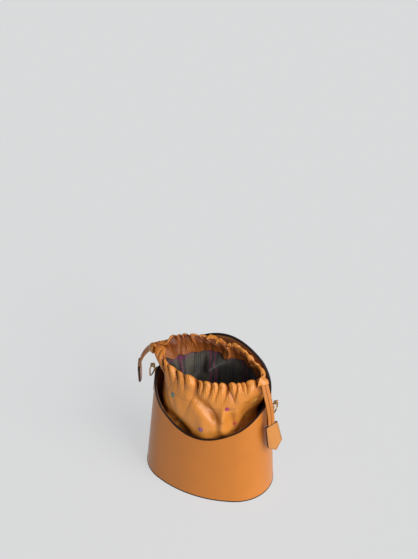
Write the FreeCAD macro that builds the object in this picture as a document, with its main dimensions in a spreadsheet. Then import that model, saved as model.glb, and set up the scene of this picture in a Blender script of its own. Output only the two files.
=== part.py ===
import FreeCAD, Part
import math
import os
import Sketcher
from FreeCAD import Placement, Rotation, Vector

# Bucket bag: a stiff oval bucket with a slanted rim, a soft drawstring pouch that lifts out
# of it, a hanging ring on each end, and a leather tag on the laces at each end.
# Frame: X along the bag, Y to the back, Z up; the origin is the centre of the base.

DRIVING = {
    "half_length": 100.0, "half_depth": 68.9, "end_round": 61.0, "wall_taper": -4.1,
    "block_top": 240.0,
    "rim_mid": 166.5, "rim_rise": 31.3, "rim_bow": -3.7, "rim_hook": 23.8, "section_power": 2.28,
    "leather": 1.4, "stiffener": 1.0, "lining": 0.8, "paint": 0.6, "paint_side": 0.3, "paint_lift": 0.2,
    "base_panel": 1.6, "base_board": 2.0, "fit_gap": 0.1,
    "pouch_half_length": 83.4, "pouch_half_depth": 52.0, "pouch_round": 44.4, "pouch_shift": -3.0,
    "pouch_floor": 4.8, "pouch_leather": 1.6, "pouch_lining": 0.8, "pouch_straight": 105.0,
    "seam_half_length": 83.4, "seam_half_depth": 47.0, "seam_round": 34.0, "seam_shift": -2.0,
    "seam_height": 172.0, "seam_tilt": 16.7,
    "mouth_half_length": 88.0, "mouth_half_depth": 39.5, "mouth_round": 8.0,
    "mouth_shift_long": -10.0, "mouth_shift": 3.0, "mouth_height": 201.0, "mouth_tilt": 19.3,
    "channel_room": 2.6, "channel_facing": 1.2, "lace_gap": 3.4,
    "drawcord_radius": 1.1,
    "tab_width": 16.0, "tab_low": 124.0, "tab_high": 163.0, "tab_thick": 2.6,
    "ring_reach": 98.5, "ring_height": 165.5, "ring_half_width": 8.0, "ring_drop": 17.0,
    "ring_corner": 5.5, "ring_wire": 1.1, "eye_round": 2.6, "eye_wire": 1.0, "post_radius": 1.5,
    "plate_radius": 4.5, "plate_thick": 1.4, "plate_below": 6.0, "plate_seat": 0.5, "post_seat": 1.2,
    "tag_top": 20.0, "tag_wide": 25.0, "tag_shoulder": 41.0, "tag_long": 56.0,
    "tag_leaf": 1.9, "tag_paint": 0.35,
    "lace_radius": 1.6, "lace_side": 2.9,
}

# Routes of the two lace pairs, middle line, from the open end of the channel to the tag.
RIGHT_ROUTE = [(80, -3, 198), (87, -10, 186), (94, -15, 171), (99, -18, 155), (101, -20, 140)]
LEFT_ROUTE = [(-100, 0, 199), (-108, 8, 188), (-117, 14, 174), (-124, 16, 160), (-128, 16, 145)]
# Turn of each tag about Z, and its lean within its own plane, in degrees.
TAGS = {"right": (57.0, -12.5), "left": (112.0, -28.0)}

doc = FreeCAD.newDocument("bucket_bag")
sheet = doc.addObject("Spreadsheet::Sheet", "dims")
for row, (alias, value) in enumerate(DRIVING.items(), 1):
    sheet.set(f"A{row}", alias)
    sheet.set(f"B{row}", str(value))
    sheet.setAlias(f"B{row}", alias)
doc.recompute()

NODES = []


def dim(alias):
    return float(sheet.get(alias))


def evaluate(expression):
    """Value of an expression over the sheet, for a sketch's starting geometry."""
    return float(sheet.evalExpression(expression.replace("dims.", "")))


def node(thing, label):
    thing.Label = label
    NODES.append(thing)
    return thing


def plane(body, role):
    return [f for f in body.Origin.OriginFeatures if f.Role == role][0]


def cut(name, base, tool):
    thing = doc.addObject("Part::Cut", name)
    thing.Base = base
    thing.Tool = tool
    return thing


def common(name, base, tool):
    thing = doc.addObject("Part::Common", name)
    thing.Base = base
    thing.Tool = tool
    return thing


def fuse(name, *things):
    thing = doc.addObject("Part::MultiFuse", name)
    thing.Shapes = list(things)
    return thing


# ---- ovals ---------------------------------------------------------------

def oval_sketch(body, name, length, depth, corner, place=None):
    """Four tangent arcs: half length, half depth and end radius are sheet expressions.
    place holds expressions for the middle (x, y, z) and the tilt about X."""
    sketch = body.newObject("Sketcher::SketchObject", name)
    sketch.AttachmentSupport = [(plane(body, "XY_Plane"), "")]
    sketch.MapMode = "FlatFace"
    spread = f"({length})^2 + ({depth})^2 - 2 * ({length}) * ({corner})"
    long_radius = f"({spread}) / (2 * (({depth}) - ({corner})))"
    a, b, r = evaluate(length), evaluate(depth), evaluate(corner)
    big = (a * a + b * b - 2 * a * r) / (2 * (b - r))
    half = math.atan2(a - r, big - b)
    out = Vector(0, 0, 1)
    side = math.pi / 2 - half
    right = Part.ArcOfCircle(Part.Circle(Vector(a - r, 0, 0), out, r), -side, side)
    back = Part.ArcOfCircle(Part.Circle(Vector(0, b - big, 0), out, big), side, math.pi - side)
    left = Part.ArcOfCircle(Part.Circle(Vector(r - a, 0, 0), out, r), math.pi - side, math.pi + side)
    front = Part.ArcOfCircle(Part.Circle(Vector(0, big - b, 0), out, big), math.pi + side, -side)
    sketch.addGeometry([right, back, left, front], False)
    for here in range(4):
        sketch.addConstraint(Sketcher.Constraint("Tangent", here, 2, (here + 1) % 4, 1))
    sketch.addConstraint(Sketcher.Constraint("PointOnObject", 0, 3, -1))
    sketch.addConstraint(Sketcher.Constraint("PointOnObject", 2, 3, -1))
    sizes = [("DistanceX", (-1, 1, 0, 3), a - r, f"({length}) - ({corner})"),
             ("DistanceX", (2, 3, -1, 1), a - r, f"({length}) - ({corner})"),
             ("Radius", (0,), r, corner), ("Radius", (2,), r, corner),
             ("Radius", (1,), big, long_radius), ("Radius", (3,), big, long_radius)]
    for kind, where, value, expression in sizes:
        index = sketch.addConstraint(Sketcher.Constraint(kind, *where, value))
        sketch.setExpression(f"Constraints[{index}]", expression)
    if place:
        x, y, z, tilt = place
        sketch.AttachmentOffset = Placement(Vector(0, 0, 0), Rotation(Vector(1, 0, 0), 1))
        sketch.setExpression("AttachmentOffset.Base.x", x)
        sketch.setExpression("AttachmentOffset.Base.y", y)
        sketch.setExpression("AttachmentOffset.Base.z", z)
        sketch.setExpression("AttachmentOffset.Rotation.Angle", tilt)
    return sketch


def oval_block(name, inset, low, high, taper="0"):
    """Upright oval block, inset from the bucket's outline, between two heights."""
    body = doc.addObject("PartDesign::Body", name)
    sketch = oval_sketch(body, name + "_outline", f"dims.half_length - ({inset})",
                         f"dims.half_depth - ({inset})", f"dims.end_round - ({inset})",
                         ("0", "0", low, "0"))
    pad = body.newObject("PartDesign::Pad", name + "_pad")
    pad.Profile = sketch
    pad.setExpression("Length", f"({high}) - ({low})")
    pad.setExpression("TaperAngle", taper)
    return body


def pouch_section(body, name, inset, level):
    """Outline of the pouch at one of its levels: floor, straight, seam or a share of the mouth."""
    if level in ("floor", "straight"):
        height = "dims.pouch_straight" if level == "straight" else "dims.pouch_floor + dims.pouch_leather"
        return oval_sketch(body, name, f"dims.pouch_half_length - ({inset})",
                           f"dims.pouch_half_depth - ({inset})", f"dims.pouch_round - ({inset})",
                           ("0", "dims.pouch_shift", height, "0"))

    def between(low, high):
        return f"({low}) + (({high}) - ({low})) * {level}"

    return oval_sketch(body, name,
                       between("dims.seam_half_length", "dims.mouth_half_length") + f" - ({inset})",
                       between("dims.seam_half_depth", "dims.mouth_half_depth") + f" - ({inset})",
                       between(f"dims.seam_round - ({inset})", f"dims.mouth_round - 0.5 * ({inset})"),
                       (between("0", "dims.mouth_shift_long"),
                        between("dims.seam_shift", "dims.mouth_shift"),
                        between("dims.seam_height", "dims.mouth_height"),
                        between("dims.seam_tilt", "dims.mouth_tilt")))


def pouch_block(name, inset, levels):
    body = doc.addObject("PartDesign::Body", name)
    sections = [pouch_section(body, f"{name}_section_{i}", inset, level)
                for i, level in enumerate(levels)]
    loft = body.newObject("PartDesign::AdditiveLoft", name + "_loft")
    loft.Profile = sections[0]
    loft.Sections = sections[1:]
    loft.Ruled = True
    return body


# ---- bucket --------------------------------------------------------------

def rim_point(share, lift):
    """Point of the rim in the side view; share runs from -1 at the front to 1 at the back."""
    height = dim("rim_mid") + dim("rim_rise") * share
    height += dim("rim_bow") * share ** 2 + dim("rim_hook") * share ** 3
    depth = dim("half_depth") + height * math.tan(math.radians(dim("wall_taper")))
    return Vector(math.copysign(abs(share) ** (2 / dim("section_power")), share) * depth, height + lift, 0)


def above_rim(name, lift):
    """Everything over the rim's side profile, as a tool across the whole bag."""
    body = doc.addObject("PartDesign::Body", name)
    sketch = body.newObject("Sketcher::SketchObject", name + "_profile")
    sketch.AttachmentSupport = [(plane(body, "YZ_Plane"), "")]
    sketch.MapMode = "FlatFace"
    overrun, steps = 1.12, 8
    shares = [overrun * (2 * i / steps - 1) for i in range(steps + 1)]
    points = [rim_point(share, lift) for share in shares]
    curve = Part.BSplineCurve()
    curve.interpolate(points)
    top = dim("block_top") + 10
    corner_back = Vector(points[-1].x, top, 0)
    corner_front = Vector(points[0].x, top, 0)
    sketch.addGeometry([curve, Part.LineSegment(points[-1], corner_back),
                        Part.LineSegment(corner_back, corner_front),
                        Part.LineSegment(corner_front, points[0])], False)
    sketch.addConstraint(Sketcher.Constraint("Coincident", 0, 2, 1, 1))
    sketch.addConstraint(Sketcher.Constraint("Coincident", 1, 2, 2, 1))
    sketch.addConstraint(Sketcher.Constraint("Coincident", 2, 2, 3, 1))
    sketch.addConstraint(Sketcher.Constraint("Coincident", 3, 2, 0, 1))
    pad = body.newObject("PartDesign::Pad", name + "_pad")
    pad.Profile = sketch
    pad.Midplane = True
    pad.setExpression("Length", "3 * dims.half_length")
    return body


def bucket():
    depths = ["0", "dims.leather", "dims.leather + dims.stiffener",
              "dims.leather + dims.stiffener + dims.lining"]
    blocks = [oval_block(f"wall_block_{i}", depth, "dims.base_panel", "dims.block_top", "dims.wall_taper")
              for i, depth in enumerate(depths)]
    over = above_rim("over_rim", 0)
    over_paint = above_rim("over_paint", dim("paint"))
    for i, label in enumerate(["shell_outer_leather", "shell_stiffener", "shell_lining"]):
        wall = cut(label + "_wall", blocks[i], blocks[i + 1])
        node(cut(label, wall, over), label)
    whole = cut("whole_wall", blocks[0], blocks[3])
    edge = common("edge_strip", whole, over)
    node(cut("rim_edge_paint", edge, over_paint), "rim_edge_paint")
    node(oval_block("base_outer_panel", "0", "0", "dims.base_panel"), "base_outer_panel")
    rim = oval_block("base_paint_block", "-dims.paint_side", "dims.paint_lift", "dims.base_panel")
    node(cut("base_edge_paint", rim, NODES[-1]), "base_edge_paint")
    inside = f"{depths[3]} + 2 * dims.fit_gap"
    board_top = "dims.base_panel + dims.base_board"
    node(oval_block("base_board", inside, "dims.base_panel", board_top), "base_board")
    node(oval_block("base_lining", inside + " + dims.fit_gap", board_top, board_top + " + dims.lining"),
         "base_lining")
    return blocks[0]


# ---- hardware on the two ends --------------------------------------------

def box(name, x, y, z, length, width, height):
    thing = doc.addObject("Part::Box", name)
    for prop, expression in (("Placement.Base.x", x), ("Placement.Base.y", y), ("Placement.Base.z", z),
                             ("Length", length), ("Width", width), ("Height", height)):
        thing.setExpression(prop, expression)
    return thing


def end_tab(side, sign, wall_block):
    """Leather tab that follows the bucket's end wall."""
    proud = oval_block(f"tab_block_{side}", "-dims.tab_thick", "dims.base_panel", "dims.block_top",
                       "dims.wall_taper")
    layer = cut(f"tab_layer_{side}", proud, wall_block)
    start = "0" if sign > 0 else "-2 * dims.half_length"
    window = box(f"tab_window_{side}", start, "-dims.tab_width / 2", "dims.tab_low",
                 "2 * dims.half_length", "dims.tab_width", "dims.tab_high - dims.tab_low")
    node(common(f"end_tab_{side}", layer, window), f"end_tab_{side}")


def ring_eye(side, sign):
    """Brass plate, post and eye that stand out from the tab and hold the ring."""
    turn = Rotation(Vector(0, 1, 0), 90 * sign)
    slope = math.tan(math.radians(-dim("wall_taper")))
    low = dim("ring_height") - dim("plate_below")
    face = dim("half_length") + dim("tab_thick") - slope * low
    plate = doc.addObject("Part::Cylinder", f"eye_plate_{side}")
    plate.setExpression("Radius", "dims.plate_radius")
    plate.setExpression("Height", "dims.plate_thick")
    plate.Placement = Placement(Vector(sign * (face + dim("plate_seat")), 0, low), turn)
    post = doc.addObject("Part::Cylinder", f"eye_post_{side}")
    post.setExpression("Radius", "dims.post_radius")
    start = face + dim("post_seat")
    reach = Vector(dim("ring_reach") - start, 0, dim("plate_below") - dim("eye_round"))
    post.Height = reach.Length
    direction = Vector(sign * reach.x, 0, reach.z)
    post.Placement = Placement(Vector(sign * start, 0, low), Rotation(Vector(0, 0, 1), direction))
    eye = doc.addObject("Part::Torus", f"eye_loop_{side}")
    eye.setExpression("Radius1", "dims.eye_round")
    eye.setExpression("Radius2", "dims.eye_wire")
    eye.Placement = Placement(Vector(sign * dim("ring_reach"), 0, dim("ring_height")),
                              Rotation(Vector(1, 0, 0), 90))
    solid = fuse(f"eye_solid_{side}", plate, post, eye)
    proud = oval_block(f"eye_seat_{side}", "-dims.tab_thick", "dims.base_panel", "dims.block_top",
                       "dims.wall_taper")
    node(cut(f"ring_eye_{side}", solid, proud), f"ring_eye_{side}")


def hanging_ring(side, sign):
    """Rounded rectangular wire ring, its top bar through the eye."""
    body = doc.addObject("PartDesign::Body", f"end_ring_{side}")
    path = body.newObject("Sketcher::SketchObject", f"ring_path_{side}")
    path.AttachmentSupport = [(plane(body, "YZ_Plane"), "")]
    path.MapMode = "FlatFace"
    w, d, r = dim("ring_half_width"), dim("ring_drop"), dim("ring_corner")
    flat = [Vector(w - r, 0, 0), Vector(r - w, 0, 0), Vector(-w, -r, 0), Vector(-w, r - d, 0),
            Vector(r - w, -d, 0), Vector(w - r, -d, 0), Vector(w, r - d, 0), Vector(w, -r, 0)]
    middles = [Vector(r - w, -r, 0), Vector(r - w, r - d, 0), Vector(w - r, r - d, 0), Vector(w - r, -r, 0)]
    out = Vector(0, 0, 1)
    pieces = []
    for i, middle in enumerate(middles):
        pieces.append(Part.LineSegment(flat[2 * i], flat[2 * i + 1]))
        start = math.pi / 2 * (i + 1)
        pieces.append(Part.ArcOfCircle(Part.Circle(middle, out, r), start, start + math.pi / 2))
    path.addGeometry(pieces, False)
    path.AttachmentOffset = Placement(Vector(0, dim("ring_height"), sign * dim("ring_reach")), Rotation())
    profile = body.newObject("Sketcher::SketchObject", f"ring_section_{side}")
    profile.AttachmentSupport = [(plane(body, "XZ_Plane"), "")]
    profile.MapMode = "FlatFace"
    middle = Vector(sign * dim("ring_reach"), dim("ring_height"), 0)
    profile.addGeometry(Part.Circle(middle, out, dim("ring_wire")), False)
    index = profile.addConstraint(Sketcher.Constraint("Radius", 0, dim("ring_wire")))
    profile.setExpression(f"Constraints[{index}]", "dims.ring_wire")
    pipe = body.newObject("PartDesign::AdditivePipe", f"ring_wire_{side}")
    pipe.Profile = profile
    pipe.Spine = path
    node(body, f"end_ring_{side}")


# ---- pouch ---------------------------------------------------------------

def pouch():
    skin, inner = "dims.pouch_leather", "dims.pouch_leather + dims.pouch_lining"
    levels = ["floor", "straight", 0]
    shells = [pouch_block(f"pouch_block_{i}", depth, levels) for i, depth in enumerate(["0", skin, inner])]
    node(cut("pouch_leather", shells[0], shells[1]), "pouch_leather")
    node(cut("pouch_lining", shells[1], shells[2]), "pouch_lining")
    for label, inset, low, thick in (
            ("pouch_base_leather", "0", "dims.pouch_floor", skin),
            ("pouch_base_lining", f"{inner} + dims.fit_gap", "dims.pouch_floor + dims.pouch_leather",
             "dims.pouch_lining")):
        body = doc.addObject("PartDesign::Body", label)
        outline = oval_sketch(body, label + "_outline", f"dims.pouch_half_length - ({inset})",
                              f"dims.pouch_half_depth - ({inset})", f"dims.pouch_round - ({inset})",
                              ("0", "dims.pouch_shift", low, "0"))
        pad = body.newObject("PartDesign::Pad", label + "_pad")
        pad.Profile = outline
        pad.setExpression("Length", thick)
        node(body, label)


def channel():
    """Folded leather round the mouth, in a front and a back half, with a drawcord in each."""
    skin = "dims.pouch_leather"
    room = f"{skin} + dims.channel_room"
    full = f"{room} + dims.channel_facing"
    fold = 0.94
    outer = pouch_block("channel_outer", "0", [0, 1])
    hollow = pouch_block("channel_hollow", full, [0, 1])
    ring = cut("channel_ring", outer, hollow)
    space = cut("channel_space", pouch_block("channel_space_outer", skin, [0, fold]),
                pouch_block("channel_space_inner", room, [0, fold]))
    sleeve = cut("channel_sleeve", ring, space)
    for label, sign in (("front", -1), ("back", 1)):
        start = "dims.mouth_shift + dims.lace_gap"
        if sign < 0:
            start = "dims.mouth_shift - dims.lace_gap - dims.half_length"
        half = box(f"channel_half_{label}", "-2 * dims.half_length", start, "dims.pouch_straight",
                   "4 * dims.half_length", "dims.half_length", "dims.block_top")
        node(common(f"channel_{label}", sleeve, half), f"channel_{label}")
        drawcord(label, sign)


def drawcord(label, sign):
    """Cord along one half of the channel: a long arc that follows the mouth."""
    share = 0.55
    swept_share = 0.86
    inset = dim("pouch_leather") + dim("channel_room") / 2

    def mixed(low, high):
        return dim(low) + (dim(high) - dim(low)) * share

    a = mixed("seam_half_length", "mouth_half_length") - inset
    b = mixed("seam_half_depth", "mouth_half_depth") - inset
    r = mixed("seam_round", "mouth_round")
    big = (a * a + b * b - 2 * a * r) / (2 * (b - r))
    sweep = swept_share * math.atan2(a - r, big - b)
    middle = sign * (b - big)
    ends = [Vector(big * math.sin(t), middle + sign * big * math.cos(t), 0) for t in (-sweep, 0, sweep)]
    path = Part.Wire([Part.Arc(*ends).toShape()])
    along = Vector(math.cos(sweep), sign * math.sin(sweep), 0)
    section = Part.Wire([Part.makeCircle(dim("drawcord_radius"), ends[0], along)])
    tube = doc.addObject("Part::Feature", f"drawcord_{label}")
    tube.Shape = path.makePipeShell([section], True, False)
    spot = Vector(dim("mouth_shift_long") * share, mixed("seam_shift", "mouth_shift"),
                  mixed("seam_height", "mouth_height"))
    tube.Placement = Placement(spot, Rotation(Vector(1, 0, 0), mixed("seam_tilt", "mouth_tilt")))
    node(tube, f"drawcord_{label}")


# ---- laces and tags ------------------------------------------------------

def rounded_path(points):
    """Straight runs joined by tangent arcs as large as the runs allow, with the arcs' radii."""
    run_share = 0.45
    edges, radii, last = [], [], points[0]
    for before, here, after in zip(points, points[1:], points[2:]):
        back, ahead = before - here, after - here
        reach = run_share * min(back.Length, ahead.Length)
        half_turn = (math.pi - back.getAngle(ahead)) / 2
        radii.append(reach / math.tan(half_turn))
        start = here + back.normalize() * reach
        end = here + ahead.normalize() * reach
        inward = (back + ahead).normalize()
        middle = here + inward * (radii[-1] / math.cos(half_turn) - radii[-1])
        edges += [Part.LineSegment(last, start).toShape(), Part.Arc(start, middle, end).toShape()]
        last = end
    edges.append(Part.LineSegment(last, points[-1]).toShape())
    return Part.Wire(edges), radii


def lace(label, route, aside):
    points = [Vector(*point) + aside for point in route]
    path, radii = rounded_path(points)
    section = Part.Wire([Part.makeCircle(dim("lace_radius"), points[0], points[1] - points[0])])
    tube = doc.addObject("Part::Feature", label)
    tube.Shape = path.makePipeShell([section], True, False)
    expected = math.pi * dim("lace_radius") ** 2 * path.Length
    print(label, "length", round(path.Length, 1), "volume ratio", round(tube.Shape.Volume / expected, 4),
          "radii", [round(radius, 1) for radius in radii])
    node(tube, label)


def tag_block(name, grow, low, thick, place):
    """House-shaped plate, its top edge at the origin, hanging down in its own XZ plane."""
    body = doc.addObject("PartDesign::Body", name)
    sketch = body.newObject("Sketcher::SketchObject", name + "_outline")
    sketch.AttachmentSupport = [(plane(body, "XZ_Plane"), "")]
    sketch.MapMode = "FlatFace"
    corners = [(f"dims.tag_top / 2 + ({grow})", "0"), (f"dims.tag_wide / 2 + ({grow})", "-dims.tag_shoulder"),
               ("0", f"-dims.tag_long - ({grow})"), (f"-dims.tag_wide / 2 - ({grow})", "-dims.tag_shoulder"),
               (f"-dims.tag_top / 2 - ({grow})", "0")]
    spots = [Vector(evaluate(x), evaluate(z), 0) for x, z in corners]
    count = len(spots)
    sketch.addGeometry([Part.LineSegment(spots[i], spots[(i + 1) % count]) for i in range(count)], False)
    for i in range(count):
        sketch.addConstraint(Sketcher.Constraint("Coincident", i, 2, (i + 1) % count, 1))
    for i, expressions in enumerate(corners):
        for kind, value, expression in zip(("DistanceX", "DistanceY"), (spots[i].x, spots[i].y), expressions):
            index = sketch.addConstraint(Sketcher.Constraint(kind, -1, 1, i, 1, value))
            sketch.setExpression(f"Constraints[{index}]", expression)
    sketch.AttachmentOffset = Placement(Vector(0, 0, low), Rotation())
    pad = body.newObject("PartDesign::Pad", name + "_pad")
    pad.Profile = sketch
    pad.Length = thick
    body.Placement = place
    return body


def tag(side, route):
    yaw, lean = TAGS[side]
    turn = Rotation(Vector(0, 0, 1), yaw).multiply(Rotation(Vector(0, 1, 0), lean))
    drop = (Vector(*route[-1]) - Vector(*route[-2])).normalize() * dim("fit_gap")
    place = Placement(Vector(*route[-1]) + drop, turn)
    leaf = dim("tag_leaf")
    node(tag_block(f"tag_{side}_outer", "0", 0, leaf, place), f"tag_{side}_outer_leaf")
    node(tag_block(f"tag_{side}_inner", "0", -leaf, leaf, place), f"tag_{side}_inner_leaf")
    rim = tag_block(f"tag_{side}_rim", "dims.tag_paint", -leaf, 2 * leaf, place)
    core = tag_block(f"tag_{side}_core", "0", -2 * leaf, 4 * leaf, place)
    node(cut(f"tag_{side}_edge", rim, core), f"tag_{side}_edge_paint")
    across = turn.multVec(Vector(1, 0, 0))
    for label, sign in (("front", -1), ("back", 1)):
        lace(f"lace_{side}_{label}", route, across * (sign * dim("lace_side")))


wall = bucket()
for side_name, side_sign in (("left", -1), ("right", 1)):
    end_tab(side_name, side_sign, wall)
    ring_eye(side_name, side_sign)
    hanging_ring(side_name, side_sign)
pouch()
channel()
tag("right", RIGHT_ROUTE)
tag("left", LEFT_ROUTE)

doc.recompute()
for thing in doc.Objects:
    if "Invalid" in thing.State or "Error" in thing.State:
        raise RuntimeError(f"{thing.Name} did not compute: {thing.State}")
for thing in NODES:
    if thing.Shape.isNull() or not thing.Shape.isValid():
        raise RuntimeError(f"{thing.Label} has no valid shape")

os.makedirs("parts", exist_ok=True)
for thing in NODES:
    thing.Shape.exportStep(f"parts/{thing.Label}.step")
    box_now = thing.Shape.BoundBox
    print(f"{thing.Label:24s} solids {len(thing.Shape.Solids)} volume {thing.Shape.Volume:9.0f}",
          f"x {box_now.XMin:7.1f} {box_now.XMax:7.1f}  y {box_now.YMin:6.1f} {box_now.YMax:6.1f}",
          f" z {box_now.ZMin:6.1f} {box_now.ZMax:6.1f}")
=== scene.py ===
import math
import random

import bpy
import numpy as np
from mathutils import Matrix, Vector


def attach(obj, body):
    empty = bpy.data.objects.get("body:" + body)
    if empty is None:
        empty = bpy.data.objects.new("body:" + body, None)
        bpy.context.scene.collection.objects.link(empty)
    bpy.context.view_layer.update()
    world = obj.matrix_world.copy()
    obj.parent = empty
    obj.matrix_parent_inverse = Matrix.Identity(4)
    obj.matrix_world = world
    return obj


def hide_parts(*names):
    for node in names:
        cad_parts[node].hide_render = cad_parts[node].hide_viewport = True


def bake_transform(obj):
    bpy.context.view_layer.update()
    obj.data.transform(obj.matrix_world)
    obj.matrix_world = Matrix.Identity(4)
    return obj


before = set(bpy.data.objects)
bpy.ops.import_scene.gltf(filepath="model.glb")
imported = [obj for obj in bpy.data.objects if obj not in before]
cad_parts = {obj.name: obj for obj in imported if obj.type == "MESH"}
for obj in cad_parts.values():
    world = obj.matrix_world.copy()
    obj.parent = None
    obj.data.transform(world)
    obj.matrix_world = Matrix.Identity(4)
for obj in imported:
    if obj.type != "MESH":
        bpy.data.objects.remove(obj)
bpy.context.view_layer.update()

# Bucket bag. Shapes are worked out in millimetres in the row frame: X along the bag, Y to the
# back, Z up, the origin in the middle of the base. Meshes are written in metres.
MM = 0.001
RNG = random.Random(7)

# Bucket: outline at the base, lean of the walls, and the slanted rim.
HALF_LENGTH, HALF_DEPTH, END_ROUND = 100.0, 68.9, 61.0
LEAN = math.tan(math.radians(4.1))
PANEL = 1.6
WALL = 3.2
RIM_MID, RIM_RISE, RIM_BOW, RIM_HOOK, SECTION_POWER = 166.5, 31.3, -3.7, 23.8, 2.28

# Pouch: four outlines, each (half length, half depth, end radius, middle x, y, z, tilt in degrees).
FLOOR = (83.4, 52.0, 44.4, 0.0, -3.0, 6.4, 0.0)
STRAIGHT = (83.4, 52.0, 44.4, 0.0, -3.0, 105.0, 0.0)
SEAM = (83.4, 47.0, 34.0, 0.0, -2.0, 172.0, 16.7)
MOUTH = (88.0, 39.5, 8.0, -10.0, 3.0, 201.0, 19.3)

# Lace routes, from the end of the channel to the tag, and each tag's turn and lean in degrees.
ROUTES = {"right": [(80, -3, 198), (87, -10, 186), (94, -15, 171), (99, -18, 155), (101, -20, 140)],
          "left": [(-100, 0, 199), (-108, 8, 188), (-117, 14, 174), (-124, 16, 160), (-128, 16, 145)]}
TAGS = {"right": (57.0, -12.5), "left": (112.0, -28.0)}
LACE_SIDE, LACE_WIDTH, LACE_THICK = 2.9, 5.4, 2.2
TAG_TOP, TAG_WIDE, TAG_SHOULDER, TAG_LONG, TAG_LEAF = 20.0, 25.0, 41.0, 56.0, 1.9

# Rings on the ends, with their eyes, plates and tabs.
RING_REACH, RING_HEIGHT, RING_HALF, RING_DROP, RING_CORNER, RING_WIRE = 98.5, 165.5, 8.0, 17.0, 5.5, 1.1
EYE_ROUND, EYE_WIRE, PLATE_BELOW, TAB_THICK = 2.6, 1.0, 6.0, 2.6


# ---- camera and lights -----------------------------------------------------

def place_object(name, data):
    made = bpy.data.objects.new(name, data)
    bpy.context.scene.collection.objects.link(made)
    return made


def camera():
    """Three-quarter view from above, at the fitted place, with a slight roll."""
    azimuth, elevation, roll = math.radians(22.51), math.radians(35.16), math.radians(1.96)
    level = Vector((math.cos(azimuth), math.sin(azimuth), 0))
    ahead = Vector((-math.sin(azimuth), math.cos(azimuth), 0))
    up = ahead * math.sin(elevation) + Vector((0, 0, 1)) * math.cos(elevation)
    turn = Matrix((level, up, level.cross(up))).transposed().to_4x4() @ Matrix.Rotation(roll, 4, "Z")
    data = bpy.data.cameras.new("camera")
    data.sensor_width = 36
    data.lens = 78.5
    data.clip_end = 200
    view = place_object("camera", data)
    view.matrix_world = Matrix.Translation(Vector((514.4, -1269.9, 1315.7)) * MM) @ turn
    bpy.context.scene.camera = view


def distant_light(name, azimuth, elevation, spread, power, colour=(1, 1, 1)):
    """Soft light from far away, by its bearing (0 at the front, 90 at the right) and height."""
    data = bpy.data.lights.new(name, "SUN")
    data.angle = math.radians(spread)
    data.energy = power
    data.color = colour
    light = place_object(name, data)
    bearing, height = math.radians(azimuth), math.radians(elevation)
    level = math.cos(height)
    source = Vector((math.sin(bearing) * level, -math.cos(bearing) * level, math.sin(height)))
    light.rotation_euler = source.to_track_quat("Z", "Y").to_euler()


def set_stops(band, stops):
    while len(band.elements) < len(stops):
        band.elements.new(0.5)
    for element, (place, colour) in zip(band.elements, stops):
        element.position = place
        element.color = (*colour, 1)


def studio():
    """Soft all-round light, brighter from the right front, with a broad key from the same side."""
    world = bpy.data.worlds.new("studio")
    bpy.context.scene.world = world
    world.use_nodes = True
    tree = world.node_tree
    sky = tree.nodes["Background"]
    where = tree.nodes.new("ShaderNodeTexCoord")
    toward = tree.nodes.new("ShaderNodeVectorMath")
    toward.operation = "DOT_PRODUCT"
    toward.inputs[1].default_value = (0.74, -0.30, 0.60)
    shade = tree.nodes.new("ShaderNodeValToRGB")
    set_stops(shade.color_ramp, [(0.0, (0.17, 0.19, 0.23)), (0.55, (0.52, 0.53, 0.55)),
                                 (1.0, (1.0, 0.97, 0.93))])
    tree.links.new(where.outputs["Generated"], toward.inputs[0])
    tree.links.new(toward.outputs["Value"], shade.inputs["Fac"])
    tree.links.new(shade.outputs["Color"], sky.inputs["Color"])
    sky.inputs["Strength"].default_value = 0.46
    distant_light("key", 74, 40, 42, 2.35, (1.0, 0.96, 0.9))
    distant_light("front_fill", 54, 22, 24, 0.95, (1.0, 0.97, 0.93))
    distant_light("top", 140, 78, 70, 0.15)
    bpy.context.scene.view_settings.view_transform = "Standard"


# ---- materials -------------------------------------------------------------

def new_material(name, base, roughness, **sockets):
    material = bpy.data.materials.new(name)
    material.use_nodes = True
    shader = material.node_tree.nodes["Principled BSDF"]
    shader.inputs["Base Color"].default_value = (*base, 1)
    shader.inputs["Roughness"].default_value = roughness
    for socket, value in sockets.items():
        shader.inputs[socket.replace("_", " ")].default_value = value
    return material


def add(material, kind, links=(), **values):
    """A shader node with its settings, and links as (input, (node, output))."""
    made = material.node_tree.nodes.new(kind)
    for key, value in values.items():
        if key in made.inputs.keys() or key.replace("_", " ") in made.inputs.keys():
            made.inputs[key.replace("_", " ")].default_value = value
        else:
            setattr(made, key, value)
    for target, (source, output) in links:
        material.node_tree.links.new(source.outputs[output], made.inputs[target])
    return made


def ramp(material, source, stops, output="Fac"):
    made = add(material, "ShaderNodeValToRGB", [("Fac", (source, output))])
    set_stops(made.color_ramp, stops)
    return made


def join(material, source, output, target):
    shader = material.node_tree.nodes["Principled BSDF"]
    material.node_tree.links.new(source.outputs[output], shader.inputs[target])


def texture(material, kind, **values):
    """A texture over the object's own coordinates."""
    where = add(material, "ShaderNodeTexCoord")
    return add(material, kind, [("Vector", (where, "Object"))], **values)


def colour_by(material, source, stops):
    tones = ramp(material, source, stops)
    join(material, tones, "Color", "Base Color")
    return tones


def bump_by(material, source, strength, distance):
    bump = add(material, "ShaderNodeBump", [("Height", (source, "Fac"))], Strength=strength,
               Distance=distance)
    join(material, bump, "Normal", "Normal")


def gloss_by(material, source, low, high):
    gloss = add(material, "ShaderNodeMapRange", [("Value", (source, "Fac"))], To_Min=low, To_Max=high)
    join(material, gloss, "Result", "Roughness")


def tone(colour, factor):
    return tuple(min(1.0, c * factor) for c in colour)


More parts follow.
